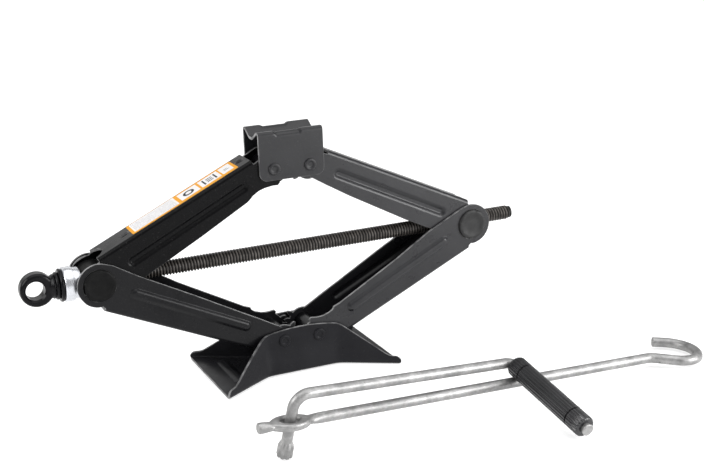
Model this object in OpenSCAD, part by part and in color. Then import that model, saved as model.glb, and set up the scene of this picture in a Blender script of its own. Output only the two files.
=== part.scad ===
// Scissor jack with a folding crank handle, lying beside it.
// +X runs along the screw towards its free end, +Y to the back, +Z up.
// The origin is the middle of the foot's underside. Millimetres.

/* [Linkage] */
// Distance between the two pivots of each arm
arm_len = 160; // [150:1:170]
// Angle of the arms above level as the jack stands
rest_angle = 26.1; // [20:0.1:35]
// Distance of each foot or head pivot from the middle
pivot_x = 15; // [14.5:0.1:15.5]
// Height of the foot pivots
foot_pivot_z = 28; // [26:0.5:32]
// Radius of the four pivot rivets
pin_r = 4; // [3.8:0.1:4.5]
// Thickness of the pressed sheet
sheet = 2.2; // [1.8:0.1:2.3]
// Air between neighbouring sheets
sheet_gap = 0.3; // [0.2:0.05:0.4]
// Inner half width of the upper arms
inner_half = 12.6; // [12.4:0.1:13]

/* [Gear sectors] */
// Teeth that a full circle would have
gear_teeth = 14; // [14:1:14]
// Backlash at the pitch circle
backlash = 0.5; // [0.4:0.05:0.8]

/* [Screw and trunnions] */
// Outer radius of the screw thread
screw_r = 6; // [5.5:0.1:6]
// Distance of the screw's free end from the middle
screw_end_x = 205; // [200:1:215]
// Radius of the trunnions
trunnion_r = 12.5; // [12:0.1:12.5]
// Half length of the trunnions
trunnion_half = 19.4; // [18.5:0.1:19.5]
// Distance of the drive eye from the middle
eye_x = 204; // [202:1:210]
// Outer radius of the drive eye
eye_r = 13; // [12.5:0.5:14]
// Radius of the hole in the drive eye
eye_hole_r = 7.25; // [6.5:0.05:7.5]

/* [Foot and head] */
// Half length of the foot
foot_half_x = 74.3; // [70:0.5:78]
// Half width of the foot at its tips
foot_half_y = 51; // [46:0.5:54]
// Height of the foot's side plates above the floor
foot_plate_z = 38.7; // [37:0.1:40]
// Half length of the head
head_half_x = 27; // [26:0.5:28]
// Height of the head's top above its pivots
head_rise = 29.5; // [28:0.5:32]
// Depth of the lengthwise groove in the head
groove_depth = 5.5; // [4:0.5:7]

/* [Crank handle] */
// Radius of the handle's rods
rod_r = 4; // [3.8:0.1:4]
// Length of the hook rod from its eye to the start of the hook
hook_start = 311; // [290:1:330]
// Radius of the hook's centre line where it opens
hook_r = 24; // [22:0.5:25]
// Length of the crank's arm
crank_arm = 185.5; // [170:0.1:200]
// Length of the crank's spindle
spindle_len = 92.4; // [90:0.1:100]
// Radius of the plastic grip
grip_r = 8; // [7.5:0.1:8]

/* [Hidden] */
$fn = 64;
soft_fn = 32;
eps = 0.01;

// Linkage, worked out from the driving dimensions
trunnion_x = pivot_x + arm_len * cos(rest_angle);
trunnion_z = foot_pivot_z + arm_len * sin(rest_angle);
head_pivot_z = trunnion_z + arm_len * sin(rest_angle);
head_top_z = head_pivot_z + head_rise;

// Inner half widths of the nested sheets, from the middle outwards
upper_in = inner_half;
lower_in = upper_in + sheet + sheet_gap;
head_in = lower_in;
foot_in = lower_in + sheet + sheet_gap;
plate_out = foot_in + sheet;

// Fits
pivot_fit = 0.06;
open_pivot_fit = 0.3;
screw_fit = 0.08;
bend_r = 3.2;

// Gear sector: pitch circles of the two arms touch in the middle
pitch_r = pivot_x;
module_mm = 2 * pitch_r / gear_teeth;
tip_r = pitch_r + 0.9 * module_mm;
root_r = pitch_r - 1.25 * module_mm;
pressure = 25;
base_r = pitch_r * cos(pressure);
tooth_pitch = 360 / gear_teeth;

// Bearing stack on the screw's driven end, from the trunnion outwards
seat_x = trunnion_x + trunnion_r - 1;
rear_race_x = seat_x + 0.1;
collar_x = trunnion_x + 16.8;
collar_end_x = trunnion_x + 24.3;
washer_t = 3;
washer_r = [12.8, 10.6];
washers_end_x = collar_end_x + 2 * washer_t + 0.1;
collar_r = 13.4;
race_r = 11;
ball_r = 1.9;
ball_ring_r = 8.7;
ball_count = 10;

// Crank handle: its eye stands over the floor, the hook lies on the floor
handle_eye = [-70, -168.7, 28.1];
rod_slope = 3.7;
rod_yaw = 3.2;
crank_tilt = [13.31, 6.19, 6.4];
crank_drop = 22.7;
leg_below = 27.5;
crank_bend = 11;
spindle_bend = 7;
eye_flat = 5.6;
tip_len = 10;
tip_out_r = 5.8;

// ---------------------------------------------------------------- helpers

// A cylinder along Y between two places
module y_cyl(r, y0, y1) translate([0, y1, 0]) rotate([90, 0, 0]) cylinder(r = r, h = y1 - y0);

// A cylinder along X between two places
module x_cyl(r, x0, x1) translate([x0, 0, 0]) rotate([0, 90, 0]) cylinder(r = r, h = x1 - x0);

// A flat shape drawn in X and Z, given a thickness from y0 to y1
module xz_plate(y0, y1) translate([0, y1, 0]) rotate([90, 0, 0]) linear_extrude(y1 - y0) children();

// The same plate on both sides of the middle
module both_sides(y0, y1) {
    xz_plate(y0, y1) children();
    xz_plate(-y1, -y0) children();
}

// A slot with round ends, centred, along X
module slot_2d(len, wid) {
    square([len - wid, wid], center = true);
    for (side = [-1, 1]) translate([side * (len - wid) / 2, 0]) circle(d = wid);
}

// ---------------------------------------------------------------- gear sector

function involute(a) = tan(a) * 180 / PI - a;
function half_tooth(r) = 90 / gear_teeth - backlash * 45 / (PI * pitch_r)
    + involute(pressure) - involute(acos(min(1, base_r / r)));
tooth_radii = [for (i = [0:4]) base_r + (tip_r - base_r) * i / 4];

module tooth_2d() {
    inner = root_r - 0.6;
    rising = [for (r = tooth_radii) r * [cos(half_tooth(r)), sin(half_tooth(r))]];
    falling = [for (i = [4:-1:0]) [rising[i][0], -rising[i][1]]];
    foot_w = half_tooth(base_r);
    polygon(concat([inner * [cos(foot_w), -sin(foot_w)], inner * [cos(foot_w), sin(foot_w)]],
        rising, falling));
}

// Teeth of one arm: the left arms have a tooth on the line between the pivots,
// the right arms a gap
module gear_2d(shift) {
    circle(r = root_r);
    first = shift == 0 ? -2 : -2 + shift;
    for (k = [first:first + 3])
        rotate(-rest_angle + k * tooth_pitch) tooth_2d();
}

// ---------------------------------------------------------------- arms
// Arm frame: X from the trunnion to the gear pivot, Z away from the jack's inside.

// Side flange: web line from top0 to top1, open edge from the gear end back to the trunnion
module flange_2d(lobe_r, top0, top1, step_s, edge, shift) {
    edge_drop = bend_r + 0.6;
    top_at = function(s) top0 + (top1 - top0) * s / arm_len - edge_drop;
    difference() {
        union() {
            intersection() {
                circle(r = lobe_r);
                translate([-30, -30]) square([60, 30 + top_at(0)]);
            }
            polygon(concat([[step_s, top_at(step_s)], [arm_len - 8, top_at(arm_len - 8)], [arm_len + 1, 12]],
                edge, [[0, -lobe_r + 0.2]]));
        }
        // room for the other arm's teeth on the geared side
        translate([arm_len, 0]) rotate(-rest_angle) intersection() {
            circle(r = tip_r + 1);
            polygon([[0, 1], [40, 34], [40, -70], [8, -40]]);
        }
    }
    translate([arm_len, 0]) gear_2d(shift);
}

// Web with its two bends, from s0 to s1, following the sloping web line
module web(half, top0, top1, s0, s1) {
    slope = atan2(top1 - top0, arm_len);
    depth = bend_r + 1.4;
    translate([0, 0, top0]) rotate([0, -slope, 0]) translate([s0, 0, 0])
        rotate([90, 0, 90]) linear_extrude(s1 - s0) difference() {
            union() {
                translate([-half + bend_r, -depth]) square([2 * (half - bend_r), depth]);
                translate([-half, -depth]) square([2 * half, depth - bend_r]);
                for (side = [-1, 1]) translate([side * (half - bend_r), -bend_r]) circle(r = bend_r);
            }
            inner = bend_r - sheet;
            below = 2 * bend_r + 1;
            translate([-half + sheet, -below]) square([2 * (half - sheet), below - bend_r]);
            translate([-half + bend_r, -depth]) square([2 * (half - bend_r), depth - sheet]);
            for (side = [-1, 1]) translate([side * (half - bend_r), -bend_r]) circle(r = inner);
        }
}

// One arm. in_y is the inner half width; front and back are the open edges of its two
// flanges; bead_out is true for a bead pressed outwards.
module arm(in_y, lobe_r, top0, top1, web_s, front, back, shift, bead_out, bead, hole_fit) {
    out_y = in_y + sheet;
    bead_h = 1.2;
    side_step = 0.03;
    difference() {
        union() {
            xz_plate(-out_y, -in_y) flange_2d(lobe_r, top0, top1, web_s, front, shift);
            xz_plate(in_y, out_y) flange_2d(lobe_r, top0, top1, web_s, back, shift);
            web(out_y - side_step, top0, top1, web_s, arm_len - 12);
            both_sides(bead_out ? out_y - eps : in_y - bead_h, bead_out ? out_y + bead_h : in_y + eps)
                translate([(bead[0] + bead[1]) / 2, bead[2]]) slot_2d(bead[1] - bead[0], bead_out ? 7 : 6);
        }
        y_cyl(trunnion_r + pivot_fit, -30, 30);
        translate([arm_len, 0, 0]) y_cyl(pin_r + hole_fit, -30, 30);
        // hollow side of the bead
        both_sides(bead_out ? in_y - 1 : out_y - bead_h, bead_out ? in_y + bead_h : out_y + 1)
            translate([(bead[0] + bead[1]) / 2, bead[2]]) slot_2d(bead[1] - bead[0] - 3, 3.6);
    }
}

// Each arm has one flange with a straight open edge and one that dips before a small lug.
// The geared neighbour has them the other way round.
upper_straight = [[160, -9.3], [153, -9.6], [137, -11.1], [85, -14.2], [37, -15.4]];
upper_dipped = [[160, -11], [157, -13.7], [150, -10.6], [145, -9.3], [141, -8.9], [137, -9.4], [132, -11.2],
    [85, -14], [37, -15.4]];
lower_straight = [[160, -9.3], [157, -9.3], [116, -11.3], [74, -13.6], [27, -15.6]];
lower_dipped = [[160.5, -14.4], [158.6, -15], [153, -11.8], [149, -10], [141, -9.4], [137.6, -11],
    [132, -10.8], [71, -13.8], [54, -15.6], [36, -16.4]];

// Upper arm, with the notch that clears the screw and, on the labelled side, two slots
module upper_arm(front, back, shift, slotted, hole_fit) {
    web_start = 9.5;
    notch_s = 7.5;
    notch_r = 9.6;
    difference() {
        arm(upper_in, 15.8, 17.7, 15, web_start, front, back, shift, false, [26, 128, 1], hole_fit);
        translate([notch_s, 0, 0]) linear_extrude(40) circle(r = notch_r);
        if (slotted) for (s = [37, 142.5]) translate([s, 0, 0]) linear_extrude(40) slot_2d(8.6, 6);
    }
}

// Lower arm: the same pressing idea, wider and with its web below
module lower_arm(front, back, shift) {
    arm(lower_in, 17, 18.4, 14, 11, front, back, shift, true, [24.5, 128, -2], pivot_fit);
}

// Places an arm drawn in its own frame; side is -1 on the left, above is 1 for an upper arm
module place_arm(side, above) {
    translate([side * trunnion_x, 0, trunnion_z])
        mirror([side > 0 ? 1 : 0, 0, 0]) mirror([0, 0, above > 0 ? 0 : 1]) rotate([0, -rest_angle, 0]) children();
}

module lower_left_arm() color([0.06, 0.06, 0.065]) place_arm(-1, -1)
    lower_arm(lower_straight, lower_dipped, 0);
module lower_right_arm() color([0.1, 0.1, 0.105]) place_arm(1, -1)
    lower_arm(lower_dipped, lower_straight, 0.5);
module upper_left_arm() color([0.08, 0.08, 0.085]) place_arm(-1, 1)
    upper_arm(upper_dipped, upper_straight, 0, true, pivot_fit);
module upper_right_arm() color([0.12, 0.12, 0.125]) place_arm(1, 1)
    upper_arm(upper_straight, upper_dipped, 0.5, false, open_pivot_fit);

// Sticker between the two slots of the labelled arm
module label() {
    label_s = [42, 137.6];
    label_half = 11;
    color([0.95, 0.93, 0.85]) place_arm(-1, 1) translate([0, 0, 17.7]) rotate([0, atan2(2.7, arm_len), 0])
        translate([label_s[0], -label_half, 0]) cube([label_s[1] - label_s[0], 2 * label_half, 0.15]);
}

// ---------------------------------------------------------------- foot

module foot_plan_2d() {
    waist_x = 30;
    waist_y = 24.3;
    polygon([[-foot_half_x, -foot_half_y], [-waist_x, -waist_y], [waist_x, -waist_y],
        [foot_half_x, -foot_half_y], [foot_half_x, foot_half_y], [waist_x, waist_y],
        [-waist_x, waist_y], [-foot_half_x, foot_half_y]]);
}

// Side plate with its arched top
module foot_plate_2d() {
    plate_half = 33;
    arch_r = 150;
    intersection() {
        translate([-plate_half, 0]) square([2 * plate_half, 60]);
        translate([0, foot_plate_z - arch_r]) circle(r = arch_r, $fn = 128);
    }
}

module foot() color([0.07, 0.07, 0.075]) {
    wall_root = [33, foot_in, 0];
    difference() {
        union() {
            difference() {
                linear_extrude(sheet) foot_plan_2d();
                for (side = [-1, 1]) translate([side * 55, 0, -eps])
                    rotate([0, 0, 90]) linear_extrude(0.8) slot_2d(50, 5);
            }
            for (side = [-1, 1]) translate([side * 55, 0, sheet - eps])
                rotate([0, 0, 90]) linear_extrude(1.2) slot_2d(54, 9);
            both_sides(foot_in, plate_out) foot_plate_2d();
            // lower part of the side plates runs out to the floor plate
            for (side = [-1, 1]) translate([-30, side > 0 ? foot_in : -24.3, 0]) cube([60, 24.3 - foot_in, sheet + 1]);
            // flared wings
            for (sx = [-1, 1]) for (sy = [-1, 1]) mirror([sx < 0 ? 1 : 0, 0, 0]) mirror([0, sy < 0 ? 1 : 0, 0])
                hull() {
                    translate(wall_root - [3, 0, 0]) cube([3, sheet, 35]);
                    translate([foot_half_x - 3, foot_half_y - 3, 0]) cylinder(r = 2.5, h = 5, $fn = 24);
                }
        }
        for (side = [-1, 1]) translate([side * pivot_x, 0, foot_pivot_z]) y_cyl(pin_r, -40, 40);
    }
}

// ---------------------------------------------------------------- pins and spacers

// Rivet along Y with a peened ring at each end; out_y is the outer face that it grips
module rivet(out_y) {
    head_r = 4.8;
    head_h = 1.3;
    recess_r = 2.6;
    recess_floor = 0.6;
    y_cyl(pin_r, -out_y, out_y);
    for (side = [-1, 1]) mirror([0, side < 0 ? 1 : 0, 0]) translate([0, out_y, 0]) rotate([-90, 0, 0])
        rotate_extrude() polygon([[0, 0], [head_r, 0], [head_r, head_h - 0.6], [head_r - 0.6, head_h],
            [recess_r + 0.2, head_h], [recess_r, recess_floor], [0, recess_floor]]);
}

// Tube on a rivet between two flanges
module spacer(half) {
    difference() {
        y_cyl(8, -half, half);
        y_cyl(pin_r + pivot_fit, -half - 1, half + 1);
    }
}

module at_base(side) translate([side * pivot_x, 0, foot_pivot_z]) children();
module at_head(side) translate([side * pivot_x, 0, head_pivot_z]) children();

module base_pin_left() color("dimgray") at_base(-1) rivet(plate_out);
module base_pin_right() color("dimgray") at_base(1) rivet(plate_out);
module base_spacer_left() color("gray") at_base(-1) spacer(lower_in - sheet_gap);
module base_spacer_right() color("gray") at_base(1) spacer(lower_in - sheet_gap);
module head_pin_left() color("dimgray") at_head(-1) rivet(head_in + sheet);
module head_pin_right() color("dimgray") at_head(1) rivet(head_in + sheet);
module head_spacer_left() color("gray") at_head(-1) spacer(upper_in - sheet_gap);
module head_spacer_right() color("gray") at_head(1) spacer(upper_in - sheet_gap);

// ---------------------------------------------------------------- head

// Lower edge of the head's side plates, from the pivots
head_low = -9;

module head_section_2d() {
    out = head_in + sheet;
    top = head_rise;
    lip = 3.5;
    flat = 2.5;
    polygon([[out, head_low], [out, top - 2], [out - 1.2, top - 0.4], [out - lip, top - 0.6],
        [flat, top - groove_depth], [-flat, top - groove_depth],
        [-out + lip, top - 0.6], [-out + 1.2, top - 0.4], [-out, top - 2], [-out, head_low],
        [-head_in, head_low], [-head_in, top - lip - 1], [-head_in + lip, top - lip - 1.2],
        [-flat - 1, top - groove_depth - sheet], [flat + 1, top - groove_depth - sheet],
        [head_in - lip, top - lip - 1.2], [head_in, top - lip - 1], [head_in, head_low]]);
}

// Outline of the head's side plates, seen from the front
module head_outline_2d() {
    corner = 6;
    union() {
        translate([-head_half_x, head_low + corner]) square([2 * head_half_x, head_rise - head_low - corner]);
        translate([-head_half_x + corner, head_low]) square([2 * (head_half_x - corner), corner + 1]);
        for (side = [-1, 1]) translate([side * (head_half_x - corner), head_low + corner]) circle(r = corner);
    }
}

module head() color([0.13, 0.13, 0.135]) translate([0, 0, head_pivot_z]) difference() {
    intersection() {
        translate([-head_half_x, 0, 0]) rotate([90, 0, 90]) linear_extrude(2 * head_half_x) head_section_2d();
        xz_plate(-30, 30) head_outline_2d();
    }
    // shallow scoop across both top edges
    translate([-2.5, 0, head_rise + 18]) y_cyl(20, -30, 30);
    for (side = [-1, 1]) translate([side * pivot_x, 0, 0]) y_cyl(pin_r, -30, 30);
}

// ---------------------------------------------------------------- screw and bearing

module on_screw_axis() translate([0, 0, trunnion_z]) children();

// Cross shaft; bore is the radius of the hole for the screw
module trunnion(side, bore) {
    difference() {
        translate([side * trunnion_x, 0, 0]) y_cyl(trunnion_r, -trunnion_half, trunnion_half);
        x_cyl(bore, side * trunnion_x - 30, side * trunnion_x + 30);
        // flat seat for the bearing
        if (side < 0) translate([-seat_x - 20, -20, -20]) cube([20, 40, 40]);
    }
}

module left_trunnion() color([0.05, 0.05, 0.05]) on_screw_axis() trunnion(-1, screw_r + 0.5);
module right_trunnion_nut() color([0.05, 0.05, 0.05]) on_screw_axis() trunnion(1, screw_r + screw_fit);

module screw() color([0.25, 0.22, 0.2]) on_screw_axis() {
    x_cyl(screw_r, -washers_end_x, screw_end_x - 1);
    translate([screw_end_x - 1, 0, 0]) rotate([0, 90, 0]) cylinder(r1 = screw_r, r2 = screw_r - 1, h = 1);
}

// Forged ring with a neck that butts on the end of the screw
module eye() color([0.06, 0.06, 0.065]) on_screw_axis() {
    half_t = 6;
    round_r = 2.5;
    neck_root = eye_x - eye_hole_r - 2;
    neck_land = 1;
    neck_r = 9.4;
    ring_shift = 1.5;
    difference() {
        union() {
            // the ring is a little thicker towards its neck
            translate([ring_shift - eye_x, 0, 0]) rotate([90, 0, 0]) rotate_extrude() union() {
                translate([0, -half_t]) square([eye_r - round_r, 2 * half_t]);
                translate([0, round_r - half_t]) square([eye_r, 2 * (half_t - round_r)]);
                for (side = [-1, 1]) translate([eye_r - round_r, side * (half_t - round_r)]) circle(r = round_r);
            }
            translate([-neck_root, 0, 0]) rotate([0, 90, 0])
                cylinder(r1 = half_t, r2 = neck_r, h = neck_root - washers_end_x - neck_land);
            x_cyl(neck_r, -washers_end_x - neck_land - eps, -washers_end_x);
        }
        translate([-eye_x, 0, 0]) y_cyl(eye_hole_r, -30, 30);
    }
}

// Two rounded rings between the eye and the bearing collar
module thrust_washers() color([0.06, 0.06, 0.065]) on_screw_axis()
    for (i = [0, 1]) translate([-collar_end_x - washer_t * (i + 0.5) - 0.05 * (i + 1), 0, 0]) rotate([0, 90, 0])
        rotate_extrude() {
            rim_x = washer_r[i] - washer_t / 2;
            translate([screw_r + 0.1, -washer_t / 2]) square([rim_x - screw_r - 0.1, washer_t]);
            translate([rim_x, 0]) circle(d = washer_t);
        }

// Zinc cup over the thrust bearing
module bearing_collar() color([0.8, 0.8, 0.82]) on_screw_axis() difference() {
    union() {
        x_cyl(collar_r, -collar_end_x + 0.8, -collar_x);
        translate([-collar_end_x, 0, 0]) rotate([0, 90, 0]) cylinder(r1 = collar_r - 0.8, r2 = collar_r, h = 0.8);
    }
    x_cyl(screw_r + 0.1, -collar_end_x - 1, 0);
    x_cyl(race_r + 0.2, -collar_end_x + 2, -collar_x + 1);
}

module race(x0, x1) difference() {
    x_cyl(race_r, x0, x1);
    x_cyl(screw_r + 0.3, x0 - 1, x1 + 1);
}

front_race_x = collar_end_x - 2;
ball_x = front_race_x - 2 - ball_r - 0.03;
rear_race_in_x = ball_x - ball_r - 0.03;
module front_race() color("silver") on_screw_axis() race(-front_race_x, -front_race_x + 2);
module rear_race() color("silver") on_screw_axis() race(-rear_race_in_x, -rear_race_x);
module bearing_balls() color("white") on_screw_axis()
    for (i = [0:ball_count - 1]) rotate([i * 360 / ball_count, 0, 0]) translate([-ball_x, ball_ring_r, 0])
        sphere(r = ball_r, $fn = soft_fn);

// ---------------------------------------------------------------- crank handle

// A round bend in the X-Y plane: starts at the origin along +X and turns left by angle
module bend(r, turn, radius) {
    side = turn < 0 ? -1 : 1;
    mirror([0, side < 0 ? 1 : 0, 0]) translate([0, radius, 0]) rotate([0, 0, -90])
        rotate_extrude(angle = abs(turn)) translate([radius, 0]) circle(r = r);
}

// Moves to the end of such a bend, heading along it
module after_bend(turn, radius)
    translate([radius * sin(abs(turn)), (turn < 0 ? -1 : 1) * radius * (1 - cos(turn)), 0])
        rotate([0, 0, turn]) children();

// A pointed oval made by two round arcs
module oval_2d(half_len, half_wid) {
    r = (half_len * half_len + half_wid * half_wid) / (2 * half_wid);
    intersection() {
        translate([0, half_wid - r]) circle(r = r);
        translate([0, r - half_wid]) circle(r = r);
    }
}

module hook_rod() color([0.78, 0.79, 0.8]) translate(handle_eye) rotate([0, rod_slope, rod_yaw]) {
    swing = 42;
    swing_r = 12;
    link = 16;
    tight_r = 16;
    tight_curl = 90;
    pause = 1;
    wide_curl = 100;
    link_step = 0.05;
    link_overlap = 0.6;
    tail = 9;
    difference() {
        union() {
            translate([0, 0, -eye_flat / 2]) linear_extrude(eye_flat) oval_2d(17, 10.4);
            x_cyl(rod_r, -24.4, -11.5);
            x_cyl(rod_r, 11.5, hook_start);
        }
        translate([0, 0, -10]) linear_extrude(20) oval_2d(7.6, 5.5);
    }
    translate([hook_start, 0, 0]) {
        bend(rod_r, -swing, swing_r);
        after_bend(-swing, swing_r) {
            x_cyl(rod_r - link_step, -link_overlap, link + link_overlap);
            translate([link, 0, 0]) {
                bend(rod_r, tight_curl, tight_r);
                after_bend(tight_curl, tight_r) {
                    x_cyl(rod_r - link_step, -link_overlap, pause + link_overlap);
                    translate([pause, 0, 0]) {
                        bend(rod_r, wide_curl, hook_r);
                        after_bend(wide_curl, hook_r) x_cyl(rod_r - link_step, -link_overlap, tail);
                    }
                }
            }
        }
    }
}

module place_crank() translate(handle_eye) rotate(crank_tilt) translate([0, 0, crank_drop]) children();

module crank() color([0.72, 0.73, 0.75]) place_crank() {
    tip_z = -crank_drop - leg_below;
    shoulder = 2.5;
    flutes = 8;
    // leg through the eye
    translate([0, 0, tip_z + tip_len]) cylinder(r = rod_r, h = -tip_z - tip_len - crank_bend);
    // fluted tip that keeps the leg in the eye
    difference() {
        translate([0, 0, tip_z]) cylinder(r = tip_out_r, h = tip_len);
        for (i = [0:flutes - 1]) rotate([0, 0, i * 360 / flutes]) translate([tip_out_r + 0.5, 0, tip_z - 1])
            cylinder(r = 1.1, h = tip_len + 2, $fn = 24);
    }
    translate([0, 0, tip_z + tip_len - eps]) cylinder(r1 = tip_out_r - 0.4, r2 = rod_r, h = shoulder);
    // leg to arm
    rotate([90, 0, 0]) translate([0, -crank_bend, 0]) rotate([0, 0, 90]) bend(rod_r, -90, crank_bend);
    x_cyl(rod_r, crank_bend, crank_arm - spindle_bend);
    // arm to spindle
    translate([crank_arm - spindle_bend, 0, 0]) bend(rod_r, -90, spindle_bend);
    translate([crank_arm, 0, 0]) y_cyl(rod_r, -spindle_len + 1.5, -spindle_bend);
    // upset end that keeps the grip on
    translate([crank_arm, 1.5 - spindle_len, 0]) rotate([90, 0, 0]) cylinder(r1 = 4.6, r2 = 3.6, h = 1.5);
}

module grip() color([0.04, 0.04, 0.045]) place_crank() translate([crank_arm, 0, 0]) {
    // the arm reaches rod_r down the spindle, so the grip starts clear below it
    arm_gap = 0.4;
    grip_start = rod_r + arm_gap;
    mouth_r = 6.7;
    mouth_len = 5.2;
    grip_end = spindle_len - 3.6;
    grooves = 20;
    groove_places = [grip_start + 12.6, grip_end - 14];
    difference() {
        y_cyl(grip_r, -grip_end, -grip_start);
        y_cyl(rod_r + 0.08, -grip_end - 1, -grip_start + 1);
        // flared mouth over the end of the spindle's bend
        translate([0, -grip_start + eps, 0]) rotate([90, 0, 0]) cylinder(r1 = mouth_r, r2 = rod_r, h = mouth_len);
        for (i = [0:grooves - 1]) rotate([0, i * 360 / grooves, 0]) translate([grip_r + 0.25, 0, 0])
            y_cyl(0.7, -grip_end - 1, -grip_start + 1, $fn = 16);
        for (g = groove_places) translate([0, -g, 0]) rotate([90, 0, 0]) rotate_extrude()
            translate([grip_r - 0.8, -0.6]) square([2, 1.2]);
    }
}

foot();
base_pin_left();
base_pin_right();
base_spacer_left();
base_spacer_right();
lower_left_arm();
lower_right_arm();
upper_left_arm();
upper_right_arm();
label();
left_trunnion();
right_trunnion_nut();
screw();
eye();
thrust_washers();
bearing_collar();
front_race();
bearing_balls();
rear_race();
head();
head_pin_left();
head_pin_right();
head_spacer_left();
head_spacer_right();
hook_rod();
crank();
grip();
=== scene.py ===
from math import acos, asin, atan, atan2, ceil, cos, degrees, dist, pi, radians, sin, sqrt, tan

import bmesh
import bpy
import numpy as np
from mathutils import Matrix
from mathutils.geometry import delaunay_2d_cdt


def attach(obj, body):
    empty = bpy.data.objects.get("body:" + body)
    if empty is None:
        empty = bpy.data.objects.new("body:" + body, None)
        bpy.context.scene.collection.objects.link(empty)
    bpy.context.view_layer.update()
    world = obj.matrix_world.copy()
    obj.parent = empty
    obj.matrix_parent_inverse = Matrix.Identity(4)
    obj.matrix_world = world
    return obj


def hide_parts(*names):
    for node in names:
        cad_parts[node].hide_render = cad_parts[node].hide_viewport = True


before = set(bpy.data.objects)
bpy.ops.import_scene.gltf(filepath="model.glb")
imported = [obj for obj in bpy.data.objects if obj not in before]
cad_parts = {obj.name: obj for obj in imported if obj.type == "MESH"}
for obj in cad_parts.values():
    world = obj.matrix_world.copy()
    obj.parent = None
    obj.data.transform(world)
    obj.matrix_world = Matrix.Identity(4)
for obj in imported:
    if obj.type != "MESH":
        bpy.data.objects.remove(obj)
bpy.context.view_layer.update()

MM = 0.001

# ---- dimensions, in mm, as the CAD has them
ARM = 160.0
REST = radians(26.1)
PIVOT_X, FOOT_Z = 15.0, 28.0
TRUNNION_X = PIVOT_X + ARM * cos(REST)
TRUNNION_Z = FOOT_Z + ARM * sin(REST)
HEAD_Z = TRUNNION_Z + ARM * sin(REST)
SHEET, BEND = 2.2, 3.2
UPPER_IN, LOWER_IN, FOOT_IN = 12.6, 15.1, 17.6
PIN_R, TRUNNION_R = 4.0, 12.5
TRUNNION_HALF = 19.4
PITCH_R, TEETH, PRESSURE, BACKLASH = 15.0, 14, 25.0, 0.5
ROD_R = 4.0
HANDLE_EYE = np.array([-70.0, -168.7, 28.1])
ROD_TURN = (0.0, 3.7, 3.2)
CRANK_TURN = (13.31, 6.19, 6.4)
CRANK_DROP, LEG_BELOW, CRANK_ARM, SPINDLE = 22.7, 27.5, 185.5, 92.4
HOOK_START, HOOK_SWING, HOOK_LINK = 311.0, 42.0, 16.0
HOLE_GAP = 0.06   # between a pin and the sheet round it


# ---- camera
def axes_matrix(x, y, z, place):
    """A placement from its three axes and its origin."""
    m = np.eye(4)
    m[:3, 0], m[:3, 1], m[:3, 2], m[:3, 3] = x, y, z, place
    return Matrix(m.tolist())


def make_camera():
    yaw, pitch, roll = 0.415, 0.289, -0.038
    focal_px, width_px = 1313.9, 704
    forward = np.array([sin(yaw) * cos(pitch), cos(yaw) * cos(pitch), -sin(pitch)])
    level = np.array([cos(yaw), -sin(yaw), 0.0])
    upward = np.cross(level, forward)
    right = cos(roll) * level + sin(roll) * upward
    up = -sin(roll) * level + cos(roll) * upward
    data = bpy.data.cameras.new("camera")
    data.sensor_width = 36.0
    data.lens = focal_px / width_px * data.sensor_width
    data.clip_start, data.clip_end = 0.02, 20.0
    cam = bpy.data.objects.new("camera", data)
    bpy.context.scene.collection.objects.link(cam)
    cam.matrix_world = axes_matrix(right, up, -forward, (-0.361, -0.9465, 0.4061))
    bpy.context.scene.camera = cam


make_camera()


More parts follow.
